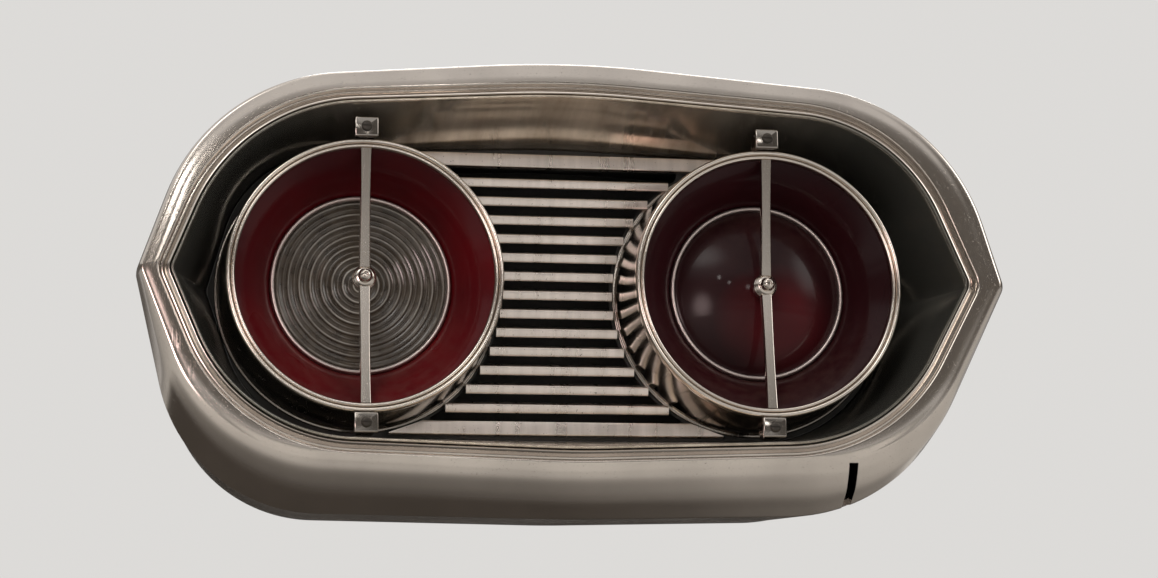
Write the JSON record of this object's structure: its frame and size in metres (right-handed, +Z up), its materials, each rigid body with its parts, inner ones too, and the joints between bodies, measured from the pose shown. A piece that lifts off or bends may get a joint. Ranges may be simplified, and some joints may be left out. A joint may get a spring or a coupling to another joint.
{
  "type": "twin round tail lamp cluster",
  "caption": "Chromed pod with a deep recess holding round tail lamps side by side, a louvred panel between them and an upright guard bar over each lens.",
  "frame": {"origin": "centre of the four mounting studs, on the face of the body that the gasket lies on", "axes": "+X to the car's right, +Y forwards into the body along the studs, +Z up; the lamps face -Y"},
  "size_m": [0.4192, 0.1308, 0.2199],
  "materials": {
    "chrome": "polished",
    "liner_chrome": "polished, a little dulled",
    "louvre_metal": "satin",
    "zinc": "cast, matt",
    "rubber": "matt",
    "steel": "plated",
    "red_lens": "gloss",
    "dark_red_lens": "gloss",
    "clear_lens": "stepped, gloss",
    "mirror": "polished",
    "bulb_glass": "gloss"
  },
  "bodies": {
    "root": {"bezel": "chrome", "recess_liner": "liner_chrome", "louvre_panel": "louvre_metal", "lamp_housing": "zinc", "housing_gasket": "rubber", "mounting_studs": "steel", "barrel_inner": "liner_chrome", "ring_inner": "chrome", "lens_inner": "red_lens", "lens_trim_inner": "chrome", "hub_inner": "chrome", "guard_bars_inner": "chrome", "clips_inner": "chrome", "clip_screws_inner": "steel", "reflector_inner": "mirror", "bulb_holder_inner": "zinc", "bulb_inner": "bulb_glass", "barrel_outer": "liner_chrome", "ring_outer": "chrome", "lens_outer": "red_lens", "lens_trim_outer": "chrome", "hub_outer": "chrome", "guard_bars_outer": "chrome", "clips_outer": "chrome", "clip_screws_outer": "steel", "reflector_outer": "mirror", "bulb_holder_outer": "zinc", "bulb_outer": "bulb_glass", "centre_lens_inner": "clear_lens", "centre_lens_outer": "dark_red_lens"}
  },
  "joints": []
}
